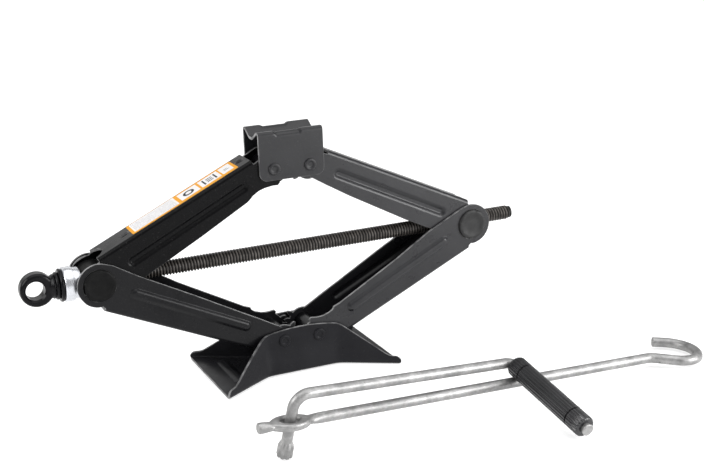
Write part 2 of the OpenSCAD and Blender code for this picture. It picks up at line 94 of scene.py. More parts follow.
# ---- materials
class Nodes:
    """Short names for building a node tree."""

    def __init__(self, name):
        self.mat = bpy.data.materials.new(name)
        self.mat.use_nodes = True
        self.tree = self.mat.node_tree
        self.bsdf = self.tree.nodes["Principled BSDF"]

    def add(self, kind, **values):
        n = self.tree.nodes.new(kind)
        for k, v in values.items():
            if k.startswith("in_"):
                key = k[3:]
                n.inputs[int(key) if key.isdigit() else key.replace("_", " ")].default_value = v
            else:
                setattr(n, k, v)
        return n

    def link(self, a, b):
        self.tree.links.new(a, b)

    def noise(self, coord, scale, detail=2.0, rough=0.5, stretch=None):
        if stretch is not None:
            m = self.add("ShaderNodeMapping")
            m.inputs["Scale"].default_value = stretch
            self.link(coord, m.inputs["Vector"])
            coord = m.outputs[0]
        n = self.add("ShaderNodeTexNoise", in_Scale=scale, in_Detail=detail, in_Roughness=rough)
        self.link(coord, n.inputs["Vector"])
        return n.outputs[0]

    def coord(self):
        return self.add("ShaderNodeTexCoord").outputs["Object"]

    def ramp(self, fac, *stops):
        """Each stop is its place and a grey or a colour."""
        r = self.add("ShaderNodeValToRGB")
        while len(r.color_ramp.elements) < len(stops):
            r.color_ramp.elements.new(0.5)
        for e, (pos, col) in zip(r.color_ramp.elements, stops):
            e.position = pos
            e.color = (*col, 1.0) if isinstance(col, tuple) else (col, col, col, 1.0)
        self.link(fac, r.inputs[0])
        return r.outputs[0]

    def math(self, op, a, b=None):
        n = self.add("ShaderNodeMath", operation=op)
        for i, v in enumerate((a, b)):
            if isinstance(v, (int, float)):
                n.inputs[i].default_value = v
            elif v is not None:
                self.link(v, n.inputs[i])
        return n.outputs[0]

    def times(self, a, b):
        return self.math("MULTIPLY", a, b)

    def mix(self, fac, a, b):
        n = self.add("ShaderNodeMix", data_type="RGBA")
        for i, v in ((0, fac), (6, a), (7, b)):
            if isinstance(v, (int, float)):
                n.inputs[i].default_value = v
            elif isinstance(v, tuple):
                n.inputs[i].default_value = (*v, 1.0)
            else:
                self.link(v, n.inputs[i])
        return n.outputs[2]

    def bump(self, height, distance, strength=1.0, after=None):
        b = self.add("ShaderNodeBump", in_Strength=strength, in_Distance=distance)
        self.link(height, b.inputs["Height"])
        if after is not None:
            self.link(after, b.inputs["Normal"])
        return b.outputs[0]

    def out(self, base, rough, normal=None, **sockets):
        sockets.update(Base_Color=base, Roughness=rough)
        if normal is not None:
            sockets["Normal"] = normal
        for k, v in sockets.items():
            s = self.bsdf.inputs[k.replace("_", " ")]
            if isinstance(v, (int, float)):
                s.default_value = v
            elif isinstance(v, tuple):
                s.default_value = (*v, 1.0)
            else:
                self.link(v, s)
        return self.mat


def scaled(tone, *colour):
    return tuple(c * tone for c in colour)


def black_paint(name, tone, gloss, shine):
    """Stoved black paint: orange peel, faint dust marks, and edges a little paler, partly as wear and partly as a
    painted highlight.
    """
    n = Nodes(name)
    at = n.coord()
    rim = n.add("ShaderNodeAttribute", attribute_name="rim").outputs["Fac"]
    # tone lightens or darkens the whole paint, giving each part a lit or shaded copy as painted light or painted
    # shade
    base = n.ramp(n.noise(at, 26.0, 4.0, 0.6), (0.3, scaled(tone, 0.0045, 0.0045, 0.0052)),
                  (0.72, scaled(tone, 0.0068, 0.0068, 0.0077)))
    dust = n.ramp(n.noise(at, 900.0), (0.66, 0.0), (0.74, 1.0))
    base = n.mix(n.times(dust, 0.12), base, (0.12, 0.115, 0.11))
    # paler rounded edges: partly wear, partly a painted highlight
    wear_and_highlight = n.times(rim, n.ramp(n.noise(at, 120.0, 3.0), (0.35, 0.25), (0.6, 1.0)))
    base = n.mix(n.times(wear_and_highlight, 0.6), base, (0.3, 0.298, 0.3))
    rough = n.ramp(n.noise(at, 60.0, 3.0), (0.3, gloss - 0.05), (0.75, gloss + 0.09))
    peel = n.bump(n.noise(at, 420.0, 2.0, 0.45), 0.00012, 0.35)
    normal = n.bump(n.noise(at, 1500.0, 1.0), 0.00003, 0.3, peel)
    return n.out(base, rough, normal, Specular_IOR_Level=shine)


def black_oxide():
    """Forged steel with a dark oxide skin."""
    n = Nodes("black_oxide")
    at = n.coord()
    base = n.ramp(n.noise(at, 90.0, 5.0, 0.6), (0.3, (0.0015, 0.0015, 0.002)), (0.7, (0.005, 0.005, 0.0058)))
    rough = n.ramp(n.noise(at, 200.0, 3.0), (0.3, 0.18), (0.75, 0.3))
    normal = n.bump(n.noise(at, 350.0, 4.0, 0.6), 0.00018, 0.4)
    return n.out(base, rough, normal, Specular_IOR_Level=0.11)


def forged_grey(name, tone):
    """Bare forged steel of the trunnions, dull and grey with a fine grain."""
    n = Nodes(name)
    at = n.coord()
    # tone scales the colour and the shine, giving a shaded or a lit copy as painted shade or painted light
    base = n.ramp(n.noise(at, 140.0, 5.0, 0.65), (0.28, scaled(tone, 0.005, 0.005, 0.0054)),
                  (0.7, scaled(tone, 0.014, 0.014, 0.0138)))
    rough = n.ramp(n.noise(at, 260.0, 3.0), (0.3, 0.4), (0.75, 0.6))
    normal = n.bump(n.noise(at, 500.0, 4.0, 0.6), 0.0002, 0.5)
    return n.out(base, rough, normal, Specular_IOR_Level=0.14 * tone)


def oiled_thread():
    """Rolled thread: painted shade makes it nearly black between its turns, and a painted highlight makes the crests
    paler.
    """
    n = Nodes("oiled_steel")
    at = n.coord()
    crest = n.add("ShaderNodeAttribute", attribute_name="rim").outputs["Fac"]
    # painted shade between the turns, and a painted highlight on the crests
    low = n.ramp(n.noise(at, 70.0, 4.0, 0.6), (0.3, (0.0012, 0.0011, 0.001)), (0.72, (0.003, 0.0027, 0.0025)))
    crest_highlight = n.ramp(n.noise(at, 240.0, 3.0), (0.3, (0.035, 0.031, 0.028)), (0.7, (0.11, 0.1, 0.092)))
    rough = n.ramp(n.noise(at, 300.0), (0.3, 0.3), (0.75, 0.5))
    normal = n.bump(n.noise(at, 800.0, 3.0), 0.0001, 0.3)
    return n.out(n.mix(crest, low, crest_highlight), rough, normal, Metallic=0.1, Specular_IOR_Level=0.18)


def zinc_plate():
    """Bright zinc on the bearing cup, brushed round its axis, with small stains."""
    n = Nodes("zinc_plate")
    at = n.coord()
    streak = n.noise(at, 1.0, 3.0, stretch=(1400.0, 60.0, 60.0))
    base = n.ramp(n.noise(at, 160.0, 4.0, 0.6), (0.3, (0.5, 0.51, 0.535)), (0.7, (0.6, 0.61, 0.635)))
    stain = n.ramp(n.noise(at, 260.0), (0.74, 0.0), (0.78, 1.0))
    base = n.mix(n.times(stain, 0.5), base, (0.12, 0.12, 0.14))
    rough = n.ramp(streak, (0.3, 0.2), (0.75, 0.36))
    return n.out(base, rough, n.bump(streak, 0.00004, 0.3), Metallic=0.9)


def zinc_rod():
    """Zinc plated rod, mottled, with small dark pits."""
    n = Nodes("zinc_rod")
    at = n.coord()
    cloud = n.noise(at, 75.0, 6.0, 0.68)
    fine = n.noise(at, 420.0, 3.0, 0.6)
    base = n.ramp(cloud, (0.3, 0.19), (0.5, (0.28, 0.278, 0.276)), (0.68, (0.4, 0.398, 0.394)))
    tint = n.add("ShaderNodeMix", data_type="RGBA", blend_type="MULTIPLY", in_0=0.55)
    n.link(base, tint.inputs[6])
    n.link(n.ramp(fine, (0.3, 0.62), (0.7, 1.0)), tint.inputs[7])
    pit = n.ramp(n.noise(at, 260.0), (0.71, 0.0), (0.76, 1.0))
    base = n.mix(n.times(pit, 0.75), tint.outputs[2], (0.09, 0.085, 0.08))
    rough = n.ramp(fine, (0.3, 0.36), (0.7, 0.54))
    normal = n.bump(fine, 0.00012, 0.4, n.bump(cloud, 0.0004, 0.25))
    return n.out(base, rough, normal, Metallic=0.7)


def polished_steel():
    """Ground bearing steel."""
    n = Nodes("bearing_steel")
    lines = n.noise(n.coord(), 1.0, stretch=(2500.0, 120.0, 120.0))
    base = n.ramp(lines, (0.3, (0.5, 0.5, 0.52)), (0.7, (0.66, 0.66, 0.68)))
    rough = n.ramp(lines, (0.3, 0.16), (0.7, 0.3))
    return n.out(base, rough, n.bump(lines, 0.00002, 0.3), Metallic=0.95)


def gloss_plastic():
    """Moulded black plastic, glossy, with a slight ripple."""
    n = Nodes("grip_plastic")
    at = n.coord()
    base = n.ramp(n.noise(at, 60.0, 3.0), (0.3, (0.006, 0.006, 0.0068)), (0.7, (0.012, 0.012, 0.0135)))
    rough = n.ramp(n.noise(at, 140.0, 4.0), (0.3, 0.13), (0.75, 0.24))
    normal = n.bump(n.noise(at, 180.0), 0.0001, 0.2)
    return n.out(base, rough, normal, Specular_IOR_Level=0.55)


# the label's print in mm, from its corner at the trunnion end: length, then width
LABEL_WID = 22.0
LABEL_TEXT = (2.4, 42.5)
LABEL_PANELS = ((45.5, 62.5), (64.5, 82.0), (83.5, 93.2))
LABEL_BARS = ((67.5, 68.9, 6.5, 17.5), (70.6, 76.0, 8.2, 9.6), (70.6, 76.0, 11.3, 12.7), (70.6, 76.0, 14.4, 15.8),
              (77.6, 79.0, 6.5, 17.5), (86.2, 91.0, 9.6, 10.4), (86.2, 89.6, 12.0, 12.8))
LABEL_RING = (54.0, 12.0)
ROW_START, ROW_STEP = 3.2, 1.55


def label_print():
    """Yellow film with white panels, rows of small grey dashes and plain bars, under gloss varnish."""
    n = Nodes("label_paper")
    uv = n.add("ShaderNodeUVMap").outputs[0]
    sep = n.add("ShaderNodeSeparateXYZ")
    n.link(uv, sep.inputs[0])
    u, v = sep.outputs[0], sep.outputs[1]

    def between(c, lo, hi):
        return n.times(n.math("GREATER_THAN", c, lo), n.math("LESS_THAN", c, hi))

    def box(u0, u1, v0, v1):
        return n.times(between(u, u0, u1), between(v, v0, v1))

    white = box(*LABEL_TEXT, 2.4, LABEL_WID - 0.5)
    for u0, u1 in LABEL_PANELS:
        white = n.math("MAXIMUM", white, box(u0, u1, 4.2, LABEL_WID - 2.2))
    paper = n.noise(uv, 0.9, 3.0)
    yellow = n.ramp(paper, (0.3, (0.52, 0.225, 0.012)), (0.7, (0.58, 0.265, 0.018)))
    plain = n.ramp(paper, (0.3, (0.53, 0.525, 0.53)), (0.7, (0.59, 0.585, 0.59)))
    # rows of dashes across the long panel
    rows = n.math("DIVIDE", n.math("SUBTRACT", v, ROW_START), ROW_STEP)
    line = between(n.math("FRACT", rows), 0.3, 0.62)
    combine = n.add("ShaderNodeCombineXYZ")
    n.link(n.times(u, 1.3), combine.inputs[0])
    n.link(n.times(n.math("FLOOR", rows), 7.31), combine.inputs[1])
    dash = n.noise(combine.outputs[0], 1.0, 1.0)
    ink = n.times(line, n.math("GREATER_THAN", dash, 0.44))
    ink = n.times(ink, box(LABEL_TEXT[0] + 1.2, LABEL_TEXT[1] - 1.6, 3.4, LABEL_WID - 1.6))
    # a ring and plain bars in the small panels
    ring_u, ring_v = (n.math("SUBTRACT", c, middle) for c, middle in zip((u, v), LABEL_RING))
    reach = n.math("SQRT", n.math("ADD", n.times(ring_u, ring_u), n.times(ring_v, ring_v)))
    dark = between(reach, 2.6, 4.8)
    for bar in LABEL_BARS:
        dark = n.math("MAXIMUM", dark, box(*bar))
    base = n.mix(white, yellow, plain)
    base = n.mix(n.times(ink, 0.8), base, (0.14, 0.14, 0.15))
    base = n.mix(dark, base, (0.01, 0.01, 0.012))
    rough = n.ramp(n.noise(uv, 0.5, 3.0), (0.3, 0.3), (0.7, 0.42))
    return n.out(base, rough, n.bump(paper, 0.0001, 0.15), Specular_IOR_Level=0.04)


# Lit and shaded copies of one black paint: the darker tones on the left arms are painted shade, the lighter tones on
# the right arms, head and foot are painted light.
PAINT_SHADED_UPPER = black_paint("black_paint_a", 0.35, 0.25, 0.1)
PAINT_SHADED_LOWER = black_paint("black_paint_b", 0.9, 0.28, 0.16)
PAINT_LIT = black_paint("black_paint_c", 2.1, 0.3, 0.34)
PAINT_LIT_HEAD = black_paint("black_paint_d", 1.9, 0.34, 0.3)
PAINT_LIT_FOOT = black_paint("black_paint_e", 2.0, 0.3, 0.08)
OXIDE = black_oxide()
# One forged steel in two copies: the darker copy on the left trunnion is painted shade, the lighter copy on the
# right trunnion is painted light.
FORGED_SHADED = forged_grey("forged_dark", 0.5)
FORGED_LIT = forged_grey("forged_grey", 1.6)
THREAD = oiled_thread()
ZINC = zinc_plate()
ROD = zinc_rod()
STEEL = polished_steel()
PLASTIC = gloss_plastic()
LABEL = label_print()


# ---- mesh helpers
def turn(deg):
    """Turns about X, then Y, then Z, in degrees."""
    (cx, sx), (cy, sy), (cz, sz) = (unit(a) for a in deg)
    return (np.array([[cz, -sz, 0], [sz, cz, 0], [0, 0, 1.0]])
            @ np.array([[cy, 0, sy], [0, 1, 0], [-sy, 0, cy]])
            @ np.array([[1, 0, 0], [0, cx, -sx], [0, sx, cx]]))


def unit(deg):
    """Cosine and sine of an angle in degrees."""
    return np.array([cos(radians(deg)), sin(radians(deg))])


def around(n):
    """n even angles in one turn."""
    return np.linspace(0, 2 * pi, n, endpoint=False)


def circle(cx, cy, r, n):
    return [(cx + r * cos(a), cy + r * sin(a)) for a in around(n)]


def shade_smooth(mesh, sharp_deg=None):
    """Smooth shading, apart from edges sharper than sharp_deg."""
    mesh.polygons.foreach_set("use_smooth", [True] * len(mesh.polygons))
    if sharp_deg is not None:
        mesh.set_sharp_from_angle(angle=radians(sharp_deg))


def make_object(name, verts, faces, material, normals=None, rim=None, sharp_deg=None, uv=None):
    """A smooth shaded object from points in mm."""
    mesh = bpy.data.meshes.new(name)
    mesh.from_pydata((np.asarray(verts, float) * MM).tolist(), [], faces)
    shade_smooth(mesh)
    if rim is not None:
        a = mesh.attributes.new("rim", "FLOAT", "POINT")
        a.data.foreach_set("value", np.asarray(rim, np.float32))
    if uv is not None:
        layer = mesh.uv_layers.new(name="UVMap")
        index = np.empty(len(mesh.loops), np.int32)
        mesh.loops.foreach_get("vertex_index", index)
        layer.data.foreach_set("uv", np.asarray(uv, np.float32)[index].ravel())
    mesh.materials.append(material)
    mesh.validate()
    mesh.update()
    if sharp_deg is not None:
        mesh.set_sharp_from_angle(angle=radians(sharp_deg))
    if normals is not None:
        mesh.normals_split_custom_set_from_vertices(np.asarray(normals).tolist())
    obj = bpy.data.objects.new(name, mesh)
    bpy.context.scene.collection.objects.link(obj)
    return obj


def finish_piece(obj, body, nodes):
    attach(obj, body)
    if nodes:
        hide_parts(*nodes)
    return obj


def arc(cx, cy, r, a0, a1, step=5.0):
    """Points of an arc from a0 to a1 degrees, about step degrees apart."""
    n = max(2, int(abs(a1 - a0) / step) + 1)
    return [(cx + r * c, cy + r * s) for c, s in map(unit, np.linspace(a0, a1, n))]


def unit_sides(before, corner, after):
    """Unit vectors from a corner to its neighbours, their lengths and half the angle between them."""
    u, v = before - corner, after - corner
    lu, lv = np.linalg.norm(u), np.linalg.norm(v)
    u, v = u / lu, v / lv
    return u, v, lu, lv, acos(max(-1, min(1, float(u @ v)))) / 2


def corner_arc(corner, u, v, half, cut, count):
    """The arc that cuts a corner off; count turns its angle into a number of points."""
    r = cut * tan(half)
    centre = corner + (u + v) / np.linalg.norm(u + v) * (r / sin(half))
    a0, a1 = (atan2(*(corner + d * cut - centre)[::-1]) for d in (u, v))
    d = (a1 - a0 + pi) % (2 * pi) - pi
    return [centre + r * np.array([cos(a0 + d * t), sin(a0 + d * t)]) for t in np.linspace(0, 1, count(abs(d)))]


def fillet(points):
    """Rounds the corners of a closed outline whose points carry a third number, their radius."""
    out = []
    for i, p in enumerate(points):
        q = np.array(p[:2], float)
        if len(p) > 2 and p[2] > 0:
            after = points[(i + 1) % len(points)]
            u, v, lu, lv, half = unit_sides(np.array(points[i - 1][:2], float), q, np.array(after[:2], float))
            if half <= radians(88):
                cut = min(p[2] / tan(half), 0.48 * lu, 0.48 * lv)
                out += map(tuple, corner_arc(q, u, v, half, cut, lambda d: max(2, int(d / radians(14)) + 1)))
                continue
        out.append(tuple(q))
    return out


def dense(loop, gap):
    """Splits long sides and drops doubled points."""
    pts = []
    n = len(loop)
    for i in range(n):
        a, b = np.array(loop[i][:2], float), np.array(loop[(i + 1) % n][:2], float)
        length = np.linalg.norm(b - a)
        if length < 1e-3:
            continue
        k = max(1, ceil(length / gap))
        pts += [a + (b - a) * j / k for j in range(k)]
    return np.array(pts)


def area(loop):
    """Area of a closed loop, positive when it runs anticlockwise."""
    x, y = loop[:, 0], loop[:, 1]
    return 0.5 * float(np.sum(x * np.roll(y, -1) - np.roll(x, -1) * y))


def outward(loop):
    """Unit mitres pointing away from the material, which is on the left of the walk."""
    d = np.roll(loop, -1, 0) - loop
    d /= np.maximum(np.linalg.norm(d, axis=1), 1e-9)[:, None]
    n = np.stack([d[:, 1], -d[:, 0]], 1)
    before = np.roll(n, 1, 0)
    m = n + before
    m /= np.maximum(np.linalg.norm(m, axis=1), 1e-6)[:, None]
    return m / np.clip((m * n).sum(1), 0.7, 1.0)[:, None]


def inside(points, loops):
    """Even-odd test of many points against closed loops."""
    x, y = points[:, 0], points[:, 1]
    odd = np.zeros(len(points), bool)
    for loop in loops:
        a, b = loop, np.roll(loop, -1, 0)
        for (x0, y0), (x1, y1) in zip(a, b):
            if y0 == y1:
                continue
            hit = (y0 > y) != (y1 > y)
            odd ^= hit & (x < (x1 - x0) * (y - y0) / (y1 - y0) + x0)
    return odd


def pressed_sheet(name, loops, place, thick, grid, material, matrix=None, offset=(0, 0, 0),
                  gap=1.1, rim=0.45, steps=3):
    """A sheet metal part: a flat blank with holes, folded into space by place, with round edges.

    grid holds the points inside the blank; gap is the spacing of those on its edges, rim their radius.
    """
    loops = [dense(l, gap) for l in loops]
    loops = [l if (area(l) > 0) == (i == 0) else l[::-1] for i, l in enumerate(loops)]
    outs = [outward(l) for l in loops]
    inner = [l - rim * o for l, o in zip(loops, outs)]
    edge_pts = np.concatenate(inner)
    grid = np.asarray(grid, float)
    grid = grid[inside(grid, inner)]
    keep = np.ones(len(grid), bool)
    for i in range(0, len(grid), 512):
        part = grid[i:i + 512]
        keep[i:i + 512] = (((part[:, None] - edge_pts[None]) ** 2).sum(2).min(1) > (0.55 * gap) ** 2)
    grid = grid[keep]
    pts = np.concatenate([edge_pts, grid])
    edges, starts, k = [], [], 0
    for l in inner:
        starts.append(k)
        edges += [(k + i, k + (i + 1) % len(l)) for i in range(len(l))]
        k += len(l)
    result = delaunay_2d_cdt([tuple(p) for p in pts], edges, [], 0, 1e-5)
    flat = np.array([tuple(v) for v in result[0]])
    source = np.array([o[0] if o else -1 for o in result[3]])
    tris = np.array([f for f in result[2] if len(f) == 3])
    tris = tris[inside(flat[tris].mean(1), inner)]
    # back to the numbering of pts; any new crossing point is kept at the end
    new = source < 0
    source[new] = len(pts) + np.arange(new.sum())
    allpts = np.concatenate([pts, flat[new]])
    tris = source[tris]

    def surface(p):
        h = 0.02
        q = place(p)
        du = place(p + [h, 0]) - place(p - [h, 0])
        dv = place(p + [0, h]) - place(p - [0, h])
        nn = np.cross(du, dv)
        return q, nn / np.linalg.norm(nn, axis=1)[:, None]

    q, nn = surface(allpts)
    count = len(allpts)
    verts = [q + nn * thick / 2, q - nn * thick / 2]
    norms = [nn, -nn]
    # how far round the rounded edge each point lies; the paint turns this into edge wear and a painted edge
    # highlight
    edge_wear_and_highlight_mask = [np.zeros(count), np.zeros(count)]
    # anticlockwise triangles face along the surface's normal
    a, b, c = (allpts[tris[:, i]] for i in range(3))
    tri_area = np.cross(b - a, c - a)
    tris[tri_area < 0] = tris[tri_area < 0][:, ::-1]
    faces = [tuple(t) for t in tris.tolist()] + [tuple(t[::-1]) for t in (tris + count).tolist()]
    base = 2 * count
    angles = list(np.linspace(0, 90, steps + 1)[1:])
    spots = [(a, 1) for a in angles] + [(a, -1) for a in angles[::-1]]
    for loop, out, low, start in zip(loops, outs, inner, starts):
        m = len(loop)
        rows = []
        flat_q = surface(low)[0]
        for a, side in spots:
            c, s = unit(a)
            p, pn = surface(low + out * rim * s)
            b = p - flat_q
            b -= (b * pn).sum(1)[:, None] * pn
            b /= np.maximum(np.linalg.norm(b, axis=1), 1e-9)[:, None]
            verts.append(p + pn * side * (thick / 2 - rim + rim * c))
            norms.append(pn * side * c + b * s)
            edge_wear_and_highlight_mask.append(np.full(m, s))
            rows.append(base)
            base += m
        chain = [start] + rows + [start + count]
        for r0, r1 in zip(chain, chain[1:]):
            for i in range(m):
                j = (i + 1) % m
                faces.append((r0 + i, r1 + i, r1 + j, r0 + j))
    verts, norms, edge_wear_and_highlight_mask = np.concatenate(verts), np.concatenate(norms), np.concatenate(edge_wear_and_highlight_mask)
    if matrix is not None:
        verts, norms = verts @ matrix.T, norms @ matrix.T
        if np.linalg.det(matrix) < 0:
            faces = [f[::-1] for f in faces]
    verts = verts + np.array(offset)
    return make_object(name, verts, faces, material, normals=norms, rim=edge_wear_and_highlight_mask)


def lattice(us, vs):
    u, v = np.meshgrid(us, vs)
    return np.stack([u.ravel(), v.ravel()], 1)


def mirrored(half):
    """A closed loop from its half with v >= 0, which starts and ends on v = 0."""
    return list(half) + [(p[0], -p[1], *p[2:]) for p in half[-2:0:-1]]


def tube(rows, closed=False):
    """Points and faces of a skin over rows of points, closed on itself or with a fan at each end."""
    m, n = len(rows), len(rows[0])
    verts = np.concatenate(rows)
    faces = []
    for i in range(m if closed else m - 1):
        a, b = i * n, (i + 1) % m * n
        faces += [(a + j, a + (j + 1) % n, b + (j + 1) % n, b + j) for j in range(n)]
    if not closed:
        for row in (0, m - 1):
            fan = [(row * n + j, row * n + (j + 1) % n, len(verts)) for j in range(n)]
            faces += fan if row else [f[::-1] for f in fan]
            verts = np.concatenate([verts, rows[row].mean(0)[None]])
    return verts, faces


def lathe(rings, n=64, closed=False):
    """Points and faces of a turned shape; rings is a list of (along, radius or n radii), turning about +Z."""
    ang = around(n)
    return tube([np.stack([r * np.cos(ang), r * np.sin(ang), np.full(n, float(z))], 1) for z, r in rings], closed)


X_AXIS = np.array([[0, 0, 1.0], [1.0, 0, 0], [0, 1.0, 0]])   # local Z along +X
Y_AXIS = np.array([[1.0, 0, 0], [0, 0, 1.0], [0, -1.0, 0]])  # local Z along +Y


def join_parts(parts):
    verts, faces, k = [], [], 0
    for v, f in parts:
        verts.append(np.asarray(v, float))
        faces += [tuple(i + k for i in face) for face in f]
        k += len(v)
    return np.concatenate(verts), faces


def sweep(path, radii, n=28, start_normal=(0, 0, 1)):
    """Points and faces of a rod along a path; radii holds a number or (along the normal, across) per point."""
    path = np.asarray(path, float)
    tangent = np.gradient(path, axis=0)
    tangent /= np.linalg.norm(tangent, axis=1)[:, None]
    normal = np.array(start_normal, float)
    ang = around(n)
    rows = []
    for p, t, r in zip(path, tangent, radii):
        normal = normal - (normal @ t) * t
        normal /= np.linalg.norm(normal)
        ra, rb = r if hasattr(r, "__len__") else (r, r)
        rows.append(p + np.outer(np.cos(ang) * ra, normal) + np.outer(np.sin(ang) * rb, np.cross(t, normal)))
    return tube(rows)


def moved(part, matrix, offset=(0, 0, 0)):
    """A part turned by a matrix and then shifted; a mirror also flips its faces."""
    v, f = part
    v = np.asarray(v) @ np.asarray(matrix).T + np.array(offset, float)
    if np.linalg.det(np.asarray(matrix)) < 0:
        f = [face[::-1] for face in f]
    return v, f


# ---- arms
BASE_R = PITCH_R * cos(radians(PRESSURE))
MODULE = 2 * PITCH_R / TEETH
TIP_R = PITCH_R + 0.9 * MODULE
ROOT_R = PITCH_R - 1.25 * MODULE
TOOTH_STEP = 360.0 / TEETH
MID_R = BEND - SHEET / 2
BEND_LEN = MID_R * pi / 2


def half_tooth(r):
    """Half the angle that a tooth takes at radius r, in degrees."""
    def inv(a):
        return degrees(tan(radians(a))) - a
    at_pitch = 90 / TEETH - BACKLASH * 45 / (pi * PITCH_R)
    return at_pitch + inv(PRESSURE) - inv(degrees(acos(min(1, BASE_R / r))))


def gear_walk(shift, lug):
    """From the open edge's end round the teeth to the top, in the arm's plane. A lug stands for the first tooth."""
    centres = [-degrees(REST) + (shift - 2 + k) * TOOTH_STEP for k in range(4)]
    start = -128.0
    if lug:
        centres = centres[1:]
        start = degrees(atan2(lug[1], lug[0] - ARM))
    foot = half_tooth(BASE_R)
    radii = np.linspace(BASE_R, TIP_R, 5)
    pts = []
    for k, c in enumerate(centres):
        begin = centres[k - 1] + foot + 1.0 if k else start
        pts += arc(ARM, 0, ROOT_R, begin, c - foot - 1.0, 4)
        for side, flank in ((-1, radii), (1, radii[::-1])):
            pts += [(ARM + r * x, r * y) for r in flank for x, y in [unit(c + side * half_tooth(r))]]
    return pts + arc(ARM, 0, ROOT_R, centres[-1] + foot + 1.0, 92, 5)


def smoothstep(x):
    x = np.clip(x, 0, 1)
    return x * x * (3 - 2 * x)


def bead_height(s, t, s0, s1, t0, half, height):
    """Height of a bead from s0 to s1 at level t0, over a flange."""
    a = np.clip(s, s0 + half, s1 - half)
    d = np.hypot(s - a, t - t0) / half
    return height * (1 - smoothstep((d - 0.25) / 0.75)) * (d < 1)


ARM_LEAN = np.array([[cos(REST), 0, -sin(REST)], [0, 1, 0], [sin(REST), 0, cos(REST)]])


def build_arm(name, body, side, above, spec, material, holes_web=()):
    """One pressed arm. s runs from the trunnion to the gear pivot, w across the flattened blank."""
    half = spec["inner"] + SHEET
    flat_half = half - BEND
    top0, top1 = spec["top"]

    def web_line(s):
        return top0 + (top1 - top0) * s / ARM

    def blank(s, t):
        return (s, flat_half + BEND_LEN + web_line(s) - BEND - t)

    lobe, web_s = spec["lobe"], spec["web_s"]
    w_end = flat_half + BEND_LEN

    def half_outline(edge, lug):
        if spec["notch"]:
            n_s, n_r = spec["notch"]
            mouth = degrees(acos((web_s - n_s) / n_r))
            loop = arc(n_s, 0, n_r, 0, mouth, 6) + [(web_s, w_end - 0.2, 0.8)]
        else:
            loop = [(web_s, 0), (web_s, w_end - 0.5, 1.0)]
        # lobe from the web's end round the trunnion to the open edge
        t_top = web_line(web_s) - BEND - 0.15
        a_top = degrees(asin(min(1, t_top / lobe)))
        loop += [blank(*p) for p in arc(0, 0, lobe, a_top, spec["lobe_end"], 5)]
        loop += [(*blank(s, t), r) for s, t, r in edge]
        loop += [blank(*p) for p in gear_walk(spec["shift"], lug)]
        loop += [blank(150.0, web_line(150.0) - BEND - 0.1), (148.0, w_end, 0.6), (148.0, 0)]
        return fillet(loop)

    far, near = half_outline(*spec["far"]), half_outline(*spec["near"])
    outer = far + [(u, -w) for u, w in near[-2:0:-1]]
    holes = []
    for sign in (1, -1):
        for s, r in ((0.0, TRUNNION_R + HOLE_GAP), (ARM, PIN_R + HOLE_GAP)):
            ring = [blank(*p) for p in circle(s, 0, r, 56)]
            holes.append([(u, sign * w) for u, w in ring])
    holes += holes_web
    bead = spec["bead"]

    def place(p):
        s, w = p[:, 0], p[:, 1]
        aw, sign = np.abs(w), np.where(w < 0, -1.0, 1.0)
        a = np.clip((aw - flat_half) / MID_R, 0, pi / 2)
        down = np.maximum(aw - flat_half - BEND_LEN, 0)
        y = np.where(aw < flat_half, aw, flat_half + MID_R * np.sin(a))
        z = web_line(s) - BEND + MID_R * np.cos(a) - down
        y = y + bead_height(s, z, *bead) * (down > 0)
        return np.stack([s, sign * y, z], 1)

    # points of the blank: a coarse grid with a finer one in place of it round each bead
    s0, s1, level, wide = bead[:4]
    w_bead = w_end + web_line((s0 + s1) / 2) - BEND - level
    across = np.concatenate([np.arange(0, flat_half - 0.5, 3.2), np.linspace(flat_half, w_end, 6),
                             np.arange(w_end + 1.6, 48, 2.6)])
    coarse = lattice(np.arange(-18, 180, 2.6), np.unique(np.concatenate([across, -across])))
    fine = np.arange(w_bead - wide - 2.4, w_bead + wide + 2.4, 0.6)
    fine_s = np.concatenate([np.arange(s0 + wide + 1, s1 - wide - 1, 2.0), np.arange(s0 - 0.6, s0 + wide + 1, 0.6),
                             np.arange(s1 - wide - 1, s1 + 0.8, 0.6)])
    s, w = coarse[:, 0], abs(coarse[:, 1])
    near_bead = (w > fine[0] - 0.7) & (w < fine[-1] + 0.7) & (s > s0 - 1.6) & (s < s1 + 1.6)
    grid = [coarse[~near_bead], lattice(fine_s, fine), lattice(fine_s, -fine)]
    flip = np.diag([-1.0 if side > 0 else 1.0, 1.0, 1.0 if above > 0 else -1.0])
    obj = pressed_sheet(name + "_pressing", [outer] + holes, place, SHEET, np.concatenate(grid), material,
                        matrix=flip @ ARM_LEAN, offset=(side * TRUNNION_X, 0, TRUNNION_Z))
    return finish_piece(obj, body, [name])


# open edges from the trunnion to the gear, with corner radii; the dipped ones end in the lug
UPPER_STRAIGHT = [(37, -15.5, 30), (60, -15.6, 60), (116, -12.9, 60), (136.4, -11.2, 1), (138.2, -11.1, 1),
                  (153, -9.6, 20), (156, -9.3, 1)]
UPPER_DIPPED = [(37, -15.5, 30), (85, -14.0, 60), (130, -11.6, 8), (138.5, -8.6, 12), (150, -10.2, 20),
                (157.0, -13.8, 0.8), (159.2, -12.9, 0.6), (159.8, -12.2, 0)]
LOWER_STRAIGHT = [(4.5, -17.5, 2), (16, -16.4, 10), (27, -15.5, 20), (74, -13.7, 60), (116, -11.4, 60),
                  (137, -10.5, 0.8), (138.6, -10.3, 0.8), (156, -9.3, 1)]
LOWER_DIPPED = [(2, -17.3, 8), (36, -17.3, 10), (54, -15.6, 20), (71, -13.8, 20), (132, -10.8, 10),
                (137.8, -11.3, 0.8), (139.2, -9.7, 3), (146, -9.0, 12), (153, -11.6, 12), (158.6, -15.1, 0.8),
                (160.6, -14.4, 0.6), (161.0, -12.3, 0)]
UPPER_LUG, LOWER_LUG = UPPER_DIPPED[-1][:2], LOWER_DIPPED[-1][:2]
